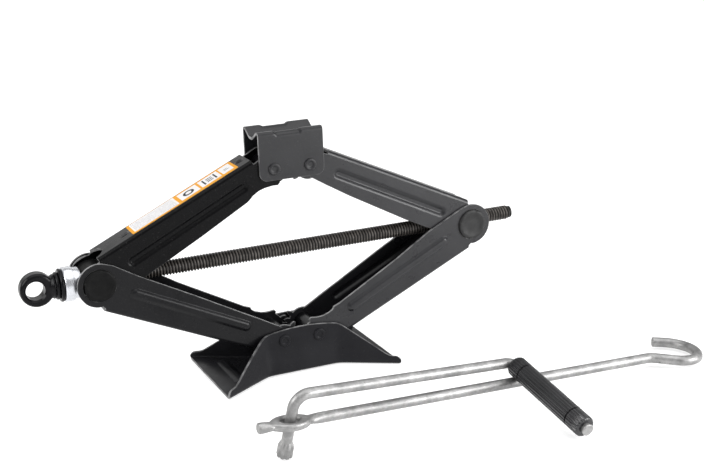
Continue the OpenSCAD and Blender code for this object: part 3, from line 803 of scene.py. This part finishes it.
# bead: start, end, level, half width and height; top: level of the web's top at the two pivots
UPPER = dict(inner=UPPER_IN, lobe=15.8, lobe_end=268, top=(17.7, 15.0), web_s=9.5, notch=(7.5, 9.6), shift=0,
             bead=(26, 137, 0.6, 4.9, -1.9))
LOWER = dict(inner=LOWER_IN, lobe=16.9, lobe_end=255, top=(18.4, 14.0), web_s=11.0, notch=None, shift=0,
             bead=(24.5, 129, -2.0, 4.4, 1.85))
UPPER_LEFT = dict(UPPER, near=(UPPER_DIPPED, UPPER_LUG), far=(UPPER_STRAIGHT, None))
UPPER_RIGHT = dict(UPPER, near=(UPPER_STRAIGHT, None), far=(UPPER_DIPPED, UPPER_LUG), shift=0.5)
LOWER_LEFT = dict(LOWER, near=(LOWER_STRAIGHT, None), far=(LOWER_DIPPED, LOWER_LUG))
LOWER_RIGHT = dict(LOWER, near=(LOWER_DIPPED, LOWER_LUG), far=(LOWER_STRAIGHT, None), shift=0.5)


def slot_hole(s, length=8.6, width=6.0):
    """A long round-ended hole in the web, at s from the trunnion."""
    r = width / 2
    run = (length - width) / 2
    return arc(s + run, 0, r, -90, 90, 10) + arc(s - run, 0, r, 90, 270, 10)


build_arm("upper_left_arm", "upper_left", -1, 1, UPPER_LEFT, PAINT_SHADED_UPPER, [slot_hole(37), slot_hole(142.5)])
build_arm("upper_right_arm", "upper_right", 1, 1, UPPER_RIGHT, PAINT_LIT)
build_arm("lower_left_arm", "lower_left", -1, -1, LOWER_LEFT, PAINT_SHADED_LOWER)
build_arm("lower_right_arm", "lower_right", 1, -1, LOWER_RIGHT, PAINT_LIT)


# ---- head
HEAD_TOP, HEAD_LOW, HEAD_HALF = 29.5, -9.0, 27.0


def polyline_map(points):
    """A function from the length along a polyline to its two coordinates."""
    p = np.array(points, float)
    s = np.concatenate([[0], np.cumsum(np.linalg.norm(np.diff(p, axis=0), axis=1))])
    return (lambda w: np.interp(w, s, p[:, 0])), (lambda w: np.interp(w, s, p[:, 1])), s


def smooth_path(corners, step=0.04):
    """An open path with rounded corners, given as points with an optional radius, cut into short steps."""
    p = [np.array(c[:2], float) for c in corners]
    out = [p[0]]
    for i in range(1, len(p) - 1):
        r = corners[i][2]
        u, v, _, _, half = unit_sides(p[i - 1], p[i], p[i + 1])
        out += corner_arc(p[i], u, v, half, r / tan(half), lambda d: max(3, int(d * r / step)))
    out.append(p[-1])
    return np.array(out)


def build_head():
    side_y = LOWER_IN + SHEET / 2
    path = smooth_path([(-0.001, HEAD_TOP - 6.6, 0), (3.2, HEAD_TOP - 6.6, 3.0), (12.4, HEAD_TOP - 1.0, 2.4),
                        (side_y, HEAD_TOP - 1.1, 1.8), (side_y, HEAD_LOW, 0)])
    path[0, 0] = 0.0
    y_at, z_at, length = polyline_map(path)
    total = length[-1]
    ridge_w = total - (HEAD_TOP - 2.5 - HEAD_LOW)
    pin_w = total + HEAD_LOW

    def place(p):
        x, w = p[:, 0], np.abs(p[:, 1])
        sign = np.where(p[:, 1] < 0, -1.0, 1.0)
        dip = 1.9 * smoothstep((x + 14.5) / 3.0) * (1 - smoothstep((x - 7.0) / 3.0))
        weight = np.exp(-((w - ridge_w) / 5.5) ** 2)
        return np.stack([x, sign * y_at(w), z_at(w) - dip * weight], 1)

    corner = 6.0
    half = fillet([(-HEAD_HALF, 0), (-HEAD_HALF, total, corner), (HEAD_HALF, total, corner), (HEAD_HALF, 0)])
    holes = [[(x, sign * w) for x, w in circle(sx * PIVOT_X, pin_w, PIN_R + HOLE_GAP, 48)]
             for sx in (1, -1) for sign in (1, -1)]
    across = np.concatenate([np.arange(0, ridge_w + 6, 0.8), np.arange(ridge_w + 6.8, 60, 2.2)])
    across = np.concatenate([-across[:0:-1], across])
    along = np.unique(np.concatenate([np.arange(-26, 26.1, 2.0), np.arange(-15, -11, 0.6),
                                      np.arange(6.4, 10.6, 0.6)]))
    obj = pressed_sheet("head_pressing", [mirrored(half)] + holes, place, SHEET, lattice(along, across), PAINT_LIT_HEAD,
                        offset=(0, 0, HEAD_Z))
    return finish_piece(obj, "head_unit", ["head"])


# ---- foot
FOOT_X = 74.3
FOOT_BEND = 3.0
WALL_SLOPE = 0.2
WALL_LEAN = atan(WALL_SLOPE)
BEND_TURN = pi / 2 - WALL_LEAN
BEND_TOP = SHEET / 2 + FOOT_BEND * (1 - cos(BEND_TURN))


WAIST_HALF, WAIST_END = 18.7, 31.0   # the waist's half width and where the wings start to spread
WING_SPREAD, LEAN_TOP = 0.614, 22.0  # mm outward per mm along the foot; height up to which the walls lean


def softplus(x, width):
    """x where it is positive and 0 elsewhere, with a soft corner."""
    return width * np.logaddexp(0, x / width)


def wall_y(x, z):
    """Half width of the foot between its walls' middle surfaces."""
    return WAIST_HALF + WALL_SLOPE * softplus(LEAN_TOP - z, 2.0) + WING_SPREAD * softplus(np.abs(x) - WAIST_END, 1.6)


def floor_half(x):
    """Half width of the foot's flat floor, where the bend up to the wall starts."""
    return wall_y(x, BEND_TOP) - FOOT_BEND * sin(BEND_TURN)


def foot_w(x, z):
    """Place across the flattened blank of a point of the wall at height z."""
    return floor_half(np.asarray(x, float)) + FOOT_BEND * BEND_TURN + (z - BEND_TOP)


def build_foot():
    def place(p):
        x, w = p[:, 0], np.abs(p[:, 1])
        sign = np.where(p[:, 1] < 0, -1.0, 1.0)
        flat = floor_half(x)
        a = np.clip((w - flat) / FOOT_BEND, 0, BEND_TURN)
        up = np.maximum(w - flat - FOOT_BEND * BEND_TURN, 0)
        z = SHEET / 2 + FOOT_BEND * (1 - np.cos(a)) + up
        y = np.where(w < flat, w, flat + FOOT_BEND * np.sin(a))
        y = np.where(up > 0, wall_y(x, z), y)
        d = np.hypot(np.abs(x) - 55.0, np.maximum(w - 22.5, 0)) / 5.2
        z = z + 1.3 * (1 - smoothstep((d - 0.35) / 0.65))
        return np.stack([x, sign * y, z], 1)

    # the wall's top edge, from its middle to the foot's end
    arch = [(x, 37.6 - (150 - sqrt(150 ** 2 - x * x))) for x in np.linspace(0, 33, 16)]
    slope = fillet([(20, 60), (20, -5), (FOOT_X, -5), (FOOT_X, 6.6, 4.5), (66.0, 7.4, 8.0),
                    (33, arch[-1][1] + 0.1, 10.0)])
    slope = sorted((p for p in slope if p[0] >= 33 and p[1] > 0), key=lambda p: p[0])
    corners = arch[:-1] + slope
    profile = corners[:1]
    for b, c in zip(corners, corners[1:]):
        profile += map(tuple, np.linspace(b, c, max(2, int(dist(b, c) / 1.2) + 1))[1:])
    right = [(x, float(foot_w(x, z))) for x, z in profile]
    right = [(FOOT_X, 0)] + right[::-1]
    outer = mirrored(right + [(-x, w) for x, w in right[-2::-1]])
    holes = [[(x, sign * float(foot_w(PIVOT_X, z))) for x, z in circle(sx * PIVOT_X, FOOT_Z, PIN_R, 48)]
             for sx in (1, -1) for sign in (1, -1)]
    grid = []
    for x in np.arange(-73, 73.1, 1.6):
        f = float(floor_half(x))
        wall = f + FOOT_BEND * BEND_TURN
        rows = list(np.linspace(0, f, int(f / 2.2)))
        rows += [f + FOOT_BEND * BEND_TURN * t for t in (0.2, 0.4, 0.6, 0.8, 1.0)]
        rows += [wall + t for t in np.arange(1.6, 36, 1.8)]
        grid += [(x, w) for w in rows] + [(x, -w) for w in rows[1:]]
    obj = pressed_sheet("foot_pressing", [outer] + holes, place, SHEET, grid, PAINT_LIT_FOOT, gap=1.3)
    return finish_piece(obj, "base", ["foot"])


build_head()
build_foot()


# ---- rivets
def both_ends(end, out_y=0.0):
    """Rings of a turned part from those of its one end, given as (along, radius), first the inmost."""
    return [(-out_y - a, r) for a, r in end] + [(out_y + a, r) for a, r in end[::-1]]


def build_rivet(name, body, x, z, out_y, material):
    end = [(0.55, 1.6), (0.6, 2.3), (0.85, 2.65), (1.18, 2.85), (1.3, 3.2), (1.3, 4.05), (1.15, 4.5), (0.75, 4.8),
           (0.0, 4.8), (0.0, 4.5), (-0.02, PIN_R)]
    part = moved(lathe(both_ends(end, out_y), 56), Y_AXIS, (x, 0, z))
    obj = make_object(name + "_rivet", *part, material, sharp_deg=50)
    return finish_piece(obj, body, [name])


for side, word in ((-1, "left"), (1, "right")):
    build_rivet("base_pin_" + word, "base", side * PIVOT_X, FOOT_Z, FOOT_IN + SHEET, PAINT_LIT_FOOT)
    build_rivet("head_pin_" + word, "head_unit", side * PIVOT_X, HEAD_Z, LOWER_IN + SHEET, PAINT_LIT_HEAD)


# ---- trunnions
def bake(obj, sharp_deg=None):
    """Puts the outcome of the modifiers into the object's mesh."""
    graph = bpy.context.evaluated_depsgraph_get()
    mesh = bpy.data.meshes.new_from_object(obj.evaluated_get(graph))
    obj.modifiers.clear()
    obj.data = mesh
    shade_smooth(mesh, sharp_deg)


def cut_away(obj, cutters):
    for c in cutters:
        m = obj.modifiers.new("cut", "BOOLEAN")
        m.operation, m.solver, m.object = "DIFFERENCE", "EXACT", c
    bake(obj, 32)
    for c in cutters:
        bpy.data.objects.remove(c)


def build_trunnion(name, body, side, bore, material, seat_x=None):
    n, half, at = 96, TRUNNION_HALF, (side * TRUNNION_X, 0, TRUNNION_Z)
    ang = around(n)
    stake = np.zeros(n)   # four stake marks round the end
    for a in (0.35, 1.92, 3.49, 5.06):
        d = (ang - a + pi) % (2 * pi) - pi
        stake += np.exp(-(d / 0.09) ** 2)
    end = [(half - 0.75, 4.0), (half - 0.7, 7.6), (half - 0.1, 9.4), (half, 10.2 - 0.3 * stake),
           (half, 11.6 - 0.8 * stake), (half - 0.35, 12.2 - 0.9 * stake), (half - 1.0, TRUNNION_R - 0.7 * stake),
           (half - 2.0, TRUNNION_R)]
    obj = make_object(name + "_body", *moved(lathe(both_ends(end), n), Y_AXIS, at), material)
    tool = moved(lathe([(-40, bore), (40, bore)], 48), X_AXIS, at)
    cutters = [make_object("bore_tool", *tool, material)]
    if seat_x is not None:
        v = [(x, y, TRUNNION_Z + z) for x in (-seat_x - 20, -seat_x) for y in (-22, 22) for z in (-22, 22)]
        f = [(0, 1, 3, 2), (4, 6, 7, 5), (0, 4, 5, 1), (2, 3, 7, 6), (0, 2, 6, 4), (1, 5, 7, 3)]
        cutters.append(make_object("seat_tool", v, f, material))
    cut_away(obj, cutters)
    return finish_piece(obj, body, [name])


SEAT_X = TRUNNION_X + TRUNNION_R - 1
build_trunnion("left_trunnion", "left_pivot", -1, 6.5, FORGED_SHADED, SEAT_X)
build_trunnion("right_trunnion_nut", "right_pivot", 1, 6.08, FORGED_LIT)


# ---- screw, eye and bearing
CUP_X = TRUNNION_X + 24.3   # closed end of the bearing cup
WASHERS_END = CUP_X + 6.1
SCREW_END = 205.0
SCREW_BORE = 6.1
ROOT_RADIUS, CREST_RADIUS = 5.0, 5.95
EYE_X, EYE_R, EYE_HOLE, EYE_SHIFT = 204.0, 13.0, 7.25, 1.5


def on_screw(rings, n, closed=True):
    """A turned shape on the screw's line, along X."""
    return moved(lathe(rings, n, closed=closed), X_AXIS, (0, 0, TRUNNION_Z))


def build_screw():
    pitch, n = 2.5, 28
    rungs = [(0.0, CREST_RADIUS), (0.2, CREST_RADIUS), (0.45, ROOT_RADIUS), (0.75, ROOT_RADIUS)]
    x0, x1 = -WASHERS_END, SCREW_END
    turns = int((x1 - x0) / pitch) + 2
    verts, rim = [], []
    for t in range(-1, turns):
        for phase, r in rungs:
            for j in range(n):
                x = x0 + (t + phase + j / n) * pitch
                lead = min(1.0, max(0.0, (x1 - 1.4 - x) / 2.5))
                rr = ROOT_RADIUS + (r - ROOT_RADIUS) * lead
                a = 2 * pi * j / n
                verts.append((min(max(x, x0), x1), rr * cos(a), TRUNNION_Z + rr * sin(a)))
                # crest mask, which the thread's material uses for painted shade between the turns and a painted
                # highlight on the crests
                rim.append(max(0.0, (rr - ROOT_RADIUS) / 0.95) ** 2)
    rows, k = len(verts) // n, len(rungs)
    faces = [(i * n + j, i * n + j + 1, (i + 1) * n + j + 1, (i + 1) * n + j)
             for i in range(rows - 1) for j in range(n - 1)]
    # the last column meets the first one a turn further on
    faces += [(i * n + n - 1, (i + k) * n, (i + k + 1) * n, (i + 1) * n + n - 1) for i in range(rows - 1 - k)]
    obj = make_object("screw_thread", verts, [f[::-1] for f in faces], THREAD, rim=rim)
    bm = bmesh.new()
    bm.from_mesh(obj.data)
    bmesh.ops.remove_doubles(bm, verts=bm.verts, dist=1e-6)
    bmesh.ops.dissolve_degenerate(bm, edges=bm.edges, dist=1e-6)
    bmesh.ops.holes_fill(bm, edges=[e for e in bm.edges if e.is_boundary], sides=0)
    bmesh.ops.recalc_face_normals(bm, faces=bm.faces)
    bm.to_mesh(obj.data)
    bm.free()
    shade_smooth(obj.data, 60)
    return finish_piece(obj, "screw_unit", ["screw"])


def fuse(obj, voxel, rounds):
    """Makes one skin with soft joins out of overlapping solids."""
    m = obj.modifiers.new("skin", "REMESH")
    m.mode, m.voxel_size = "VOXEL", voxel * MM
    s = obj.modifiers.new("soft", "SMOOTH")
    s.factor, s.iterations = 0.5, rounds
    bake(obj)


def build_eye():
    half_t, rr, lip = 6.0, 2.6, 1.2
    disc = [(half_t, 3.0), (half_t, EYE_R - rr)]
    disc += arc(half_t - rr, EYE_R - rr, rr, 15, 90, 15)
    disc += [(-z, r) for z, r in disc[::-1]]
    disc = moved(lathe(disc[::-1], 80), Y_AXIS, (-EYE_X + EYE_SHIFT, 0, TRUNNION_Z))
    neck = [(-EYE_X + 9.0, 5.0), (-EYE_X + 10.5, 6.6), (-EYE_X + 12.6, 8.6), (-WASHERS_END - 1.4, 9.5),
            (-WASHERS_END - 0.5, 9.5), (-WASHERS_END - 0.1, 9.1)]
    obj = make_object("drive_eye", *join_parts([disc, on_screw(neck, 56, closed=False)]), OXIDE)
    fuse(obj, 0.5, 7)
    wide = EYE_HOLE + lip + 2.0
    hole = [(-half_t - 2, wide), (-half_t + lip, EYE_HOLE), (half_t - lip, EYE_HOLE), (half_t + 2, wide)]
    tool = moved(lathe(hole, 72), Y_AXIS, (-EYE_X, 0, TRUNNION_Z))
    cut_away(obj, [make_object("eye_tool", *tool, OXIDE)])
    return finish_piece(obj, "screw_unit", ["eye"])


def build_washers():
    parts = []
    for i, wide in enumerate((12.8, 10.6)):
        x, r = -CUP_X - 3 * (i + 0.5) - 0.05 * (i + 1), wide - 1.5
        rim = [(x + 1.5 * sin(radians(a)), r + 1.5 * cos(radians(a))) for a in np.linspace(-80, 80, 9)]
        ring = [(x - 1.5, SCREW_BORE), (x - 1.5, r - 0.2), *rim, (x + 1.5, r - 0.2), (x + 1.5, SCREW_BORE)]
        parts.append(on_screw(ring, 80))
    obj = make_object("washer_pair", *join_parts(parts), OXIDE, sharp_deg=40)
    return finish_piece(obj, "screw_unit", ["thrust_washers"])


def build_collar():
    """Bright cup; the full radius stops before the arm's flanges, and a narrower skirt goes on between them."""
    e, step, r = -CUP_X, -(TRUNNION_X + 16.8), 13.4
    c, skirt_r, bore_r = -(SEAT_X + 0.5), UPPER_IN - 0.5, 11.2
    ring = [(e, SCREW_BORE), (e, r - 1.1), (e + 0.3, r - 0.4), (e + 1.0, r), (step - 0.6, r), (step - 0.15, r - 0.2),
            (step, r - 0.6), (step, skirt_r), (c - 0.4, skirt_r), (c, skirt_r - 0.3), (c, bore_r),
            (e + 2.0, bore_r), (e + 2.0, SCREW_BORE)]
    obj = make_object("bearing_cup", *on_screw(ring, 96), ZINC, sharp_deg=40)
    return finish_piece(obj, "screw_unit", ["bearing_collar"])


build_screw()
build_eye()
build_washers()
build_collar()


# ---- handle
def turn_path(start, heading, angle, radius, step=6.0):
    """Points of a level bend from start along heading, turning left by angle degrees."""
    sgn = 1 if angle > 0 else -1
    across = unit(heading)[::-1] * [-1, 1]
    centre = np.array(start[:2]) + radius * sgn * across
    n = max(3, int(abs(angle) / step) + 1)
    a = np.radians(heading - sgn * 90 + np.linspace(0, angle, n))
    return [(x, y, 0.0) for x, y in centre + radius * np.stack([np.cos(a), np.sin(a)], 1)]


def go_on(path, heading, length):
    """The point at length mm beyond a level path's end."""
    return np.array(path[-1]) + length * np.array([*unit(heading), 0])


def domed_end(path, radii, r):
    """Adds a slightly domed end to a path and its radii."""
    p0, p1 = np.array(path[-2]), np.array(path[-1])
    d = (p1 - p0) / np.linalg.norm(p1 - p0)
    dome = ((0.35, 0.985), (0.75, 0.92), (1.05, 0.8), (1.25, 0.6))
    return path + [tuple(p1 + d * x) for x, _ in dome], radii + [(r * k, r * k) for _, k in dome]


def oval(half_len, half_wid, n=15):
    """A closed loop of two equal arcs that meet in points."""
    r = (half_len ** 2 + half_wid ** 2) / (2 * half_wid)
    a = asin(half_len / r)
    top = [(r * sin(t), half_wid - r + r * cos(t)) for t in np.linspace(a, -a, n)]
    return top[:-1] + [(-x, -y) for x, y in top][:-1]


def build_hook_rod():
    m = turn(ROD_TURN)
    rod = (ROD_R, ROD_R)
    hole = [(0.97 * x, y) for x, y in oval(7.6, 5.5)]
    eye = pressed_sheet("rod_eye", [oval(17, 10.4), hole], lambda p: np.stack([p[:, 0], p[:, 1], 0 * p[:, 0]], 1),
                        5.6, lattice(np.arange(-16, 17, 1.6), np.arange(-9, 10, 1.6)), ROD, matrix=m,
                        offset=HANDLE_EYE, gap=0.9, rim=2.0, steps=5)
    finish_piece(eye, "handle_rod", [])
    path = [(x, 0.0, 0.0) for x in (12.0, 14.5, 17, 20, 25, *np.linspace(40, HOOK_START, 19))]
    bends = ((-HOOK_SWING, 12, HOOK_LINK), (90, 16, 1.0), (100, 24, 0))   # angle, radius, straight run after it
    heading, at = 0, (HOOK_START, 0)
    for angle, radius, run in bends:
        bend = turn_path(at, heading, angle, radius)
        path += bend[1:] if heading == 0 else bend
        heading += angle
        at = go_on(path, heading, run)
    path += [tuple(go_on(path, heading, x)) for x in np.linspace(0.3, 1, 3) * (9 - 1.25)]
    radii = [(2.5, 3.6), (2.8, 5.2), (3.2, 4.9), (3.75, 4.25)]
    radii += [rod] * (len(path) - len(radii))
    long_part = sweep(*domed_end(path, radii, ROD_R))
    stub = [(x, 0, 0) for x in (-11.5, -13.8, -16, -18.5, -21, -23.1)]
    stub = sweep(*domed_end(stub, [(2.4, 3.8), (2.8, 5.0), (3.2, 4.7), (3.75, 4.2), rod, rod], ROD_R))
    obj = make_object("hook_rod_bar", *moved(join_parts([long_part, stub]), m, HANDLE_EYE), ROD, sharp_deg=50)
    return finish_piece(obj, "handle_rod", ["hook_rod"])


def fluted(count, low, rise, sharpness, n):
    """n radii of a ribbed round section."""
    wave = 0.5 + 0.5 * np.cos(count * around(n))
    return low + rise * smoothstep(wave * sharpness)


def build_crank():
    m = turn(CRANK_TURN)
    at = HANDLE_EYE + m @ np.array([0, 0, CRANK_DROP])
    tip = -CRANK_DROP - LEG_BELOW
    bend_r, spindle_r = 11.0, 7.0
    path = [(0, 0, tip + 9.0), (0, 0, tip + 14), (0, 0, tip + 22), (0, 0, -17.0)]
    path += [(bend_r - bend_r * cos(a), 0, -bend_r + bend_r * sin(a)) for a in np.linspace(0, pi / 2, 14)]
    path += [(x, 0, 0) for x in np.linspace(20, CRANK_ARM - spindle_r - 6, 14)]
    path += [(CRANK_ARM - spindle_r + spindle_r * sin(a), -spindle_r + spindle_r * cos(a), 0)
             for a in np.linspace(0, pi / 2, 12)]
    path += [(CRANK_ARM, -y, 0) for y in (14, 30, 50, 70, 84, SPINDLE - 2.4)]
    radii = [ROD_R] * len(path)
    for extra, r in ((1.9, 4.15), (1.5, 4.5), (0.9, 4.6), (0.35, 4.4), (0.1, 4.0), (0.0, 3.4)):
        path.append((CRANK_ARM, -SPINDLE + extra, 0))
        radii.append(r)
    rod = sweep(path, radii, start_normal=(1, 0, 0))
    # fluted tip that keeps the leg in the eye
    n = 96
    rib = fluted(8, 4.75, 1.05, 1.5, n)
    rings = [(0, 3.9), (0.15, 0.86 * rib), (0.6, 0.95 * rib), (1.2, rib), (4, rib), (8.6, rib), (9.6, 0.95 * rib),
             (10.4, 0.45 * rib + 2.5), (12.6, 4.0)]
    tip_part = lathe([(tip + z, r) for z, r in rings], n)
    obj = make_object("crank_bar", *moved(join_parts([rod, tip_part]), m, at), ROD, sharp_deg=50)
    finish_piece(obj, "handle_crank", ["crank"])

    # grip: twenty flutes, two cut rings, bevelled ends
    start, end, bore = ROD_R + 0.4, SPINDLE - 3.6, 4.08
    n = 200
    rib = fluted(20, 7.45, 0.55, 1.6, n)
    rings = [(start + 5.1, bore), (start, 6.6), (start + 0.05, 6.9), (start + 0.5, 7.25), (start + 1.1, 0.96 * rib),
             (start + 1.8, rib)]
    for a, b in ((start + 1.8, start + 11.9), (start + 13.2, end - 14.6), (end - 13.3, end - 1.6)):
        rings += [(a + (b - a) * t, rib) for t in np.linspace(0, 1, max(3, int((b - a) / 6)))]
        if b < end - 5:
            rings += [(b + 0.12, 7.2), (b + 0.25, 6.9), (b + 1.05, 6.9), (b + 1.18, 7.2)]
    rings += [(end - 1.0, 0.97 * rib), (end - 0.45, 7.3), (end - 0.05, 6.7), (end, 5.6), (end, bore)]
    to_spindle = np.array([[1.0, 0, 0], [0, 0, -1.0], [0, 1.0, 0]])
    part = moved(lathe(rings, n, closed=True), to_spindle, (CRANK_ARM, 0, 0))
    obj = make_object("grip_sleeve", *moved(part, m, at), PLASTIC, sharp_deg=50)
    return finish_piece(obj, "handle_grip", ["grip"])


build_hook_rod()
build_crank()


# ---- label
def build_label():
    s0, s1, half, thick = 42.0, 137.6, 11.0, 0.15
    top0, top1 = UPPER["top"]
    corners = [(s0, -half, 1.5), (s1, -half, 1.5), (s1, half, 1.5), (s0, half, 1.5)]
    outline = dense(fillet(corners), 3.0)
    n = len(outline)
    verts = [(s, w, top0 + (top1 - top0) * s / ARM + 0.01 + level) for level in (0.0, thick) for s, w in outline]
    uv = [(s - s0, w + half) for s, w, _ in verts]
    faces = [tuple(range(n))[::-1], tuple(range(n, 2 * n))]
    faces += [(i, (i + 1) % n, n + (i + 1) % n, n + i) for i in range(n)]
    part = moved((verts, faces), ARM_LEAN, (-TRUNNION_X, 0, TRUNNION_Z))
    obj = make_object("label_film", *part, LABEL, uv=uv, sharp_deg=30)
    return finish_piece(obj, "upper_left", ["label"])


build_label()

# ---- CAD nodes that stay in view
for names, mat in ((("base_spacer_left", "base_spacer_right", "head_spacer_left", "head_spacer_right"), OXIDE),
                   (("front_race", "rear_race", "bearing_balls"), STEEL)):
    for node_name in names:
        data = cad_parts[node_name].data
        data.materials.clear()
        data.materials.append(mat)


# ---- floor, light and look
FLOOR_HALF, FLOOR_Z = 12.0, -0.0003


def floor_material():
    """Light studio floor that gives off some light of its own, so that shadows nearly vanish."""
    n = Nodes("studio_floor")
    base = n.ramp(n.noise(n.coord(), 3.0), (0.3, 0.5), (0.7, 0.53))
    return n.out(base, 0.9, Specular_IOR_Level=0.1, Emission_Color=(1, 1, 1), Emission_Strength=0.6)


def build_floor():
    mesh = bpy.data.meshes.new("studio_floor")
    corners = [(x * FLOOR_HALF, y * FLOOR_HALF, FLOOR_Z) for x, y in ((-1, -1), (1, -1), (1, 1), (-1, 1))]
    mesh.from_pydata(corners, [], [(0, 1, 2, 3)])
    mesh.materials.append(floor_material())
    obj = bpy.data.objects.new("studio_floor", mesh)
    bpy.context.scene.collection.objects.link(obj)


def area_light(name, place, target, size, power, size_y=None):
    """A soft light at place, in metres, that faces target."""
    data = bpy.data.lights.new(name, "AREA")
    data.energy, data.size = power, size
    if size_y is not None:
        data.shape, data.size_y = "RECTANGLE", size_y
    obj = bpy.data.objects.new(name, data)
    z = np.array(place, float) - np.array(target, float)
    z /= np.linalg.norm(z)
    x = np.cross((0, 0, 1.0), z)
    x /= np.linalg.norm(x)
    obj.matrix_world = axes_matrix(x, np.cross(z, x), z, place)
    bpy.context.scene.collection.objects.link(obj)


def build_world():
    world = bpy.data.worlds.new("studio")
    bpy.context.scene.world = world
    world.use_nodes = True
    bg = world.node_tree.nodes["Background"]
    bg.inputs["Color"].default_value = (1, 1, 1, 1)
    bg.inputs["Strength"].default_value = 0.45


build_floor()
build_world()
area_light("right_softbox", (0.95, -1.0, 0.35), (0, 0, 0.1), 0.8, 24.0, 0.9)
area_light("back_softbox", (-0.2, 1.6, 0.9), (0, 0, 0.1), 2.2, 5.5, 0.9)
area_light("left_fill", (-0.65, -0.1, 0.42), (-0.06, 0, 0.01), 0.35, 3.5)
sky = bpy.data.lights.new("top_light", "SUN")
sky.energy, sky.angle = 2.2, radians(70)
sky_obj = bpy.data.objects.new("top_light", sky)
sky_obj.rotation_euler = (radians(8), radians(8), 0)
bpy.context.scene.collection.objects.link(sky_obj)
view = bpy.context.scene.view_settings
view.view_transform = "Standard"
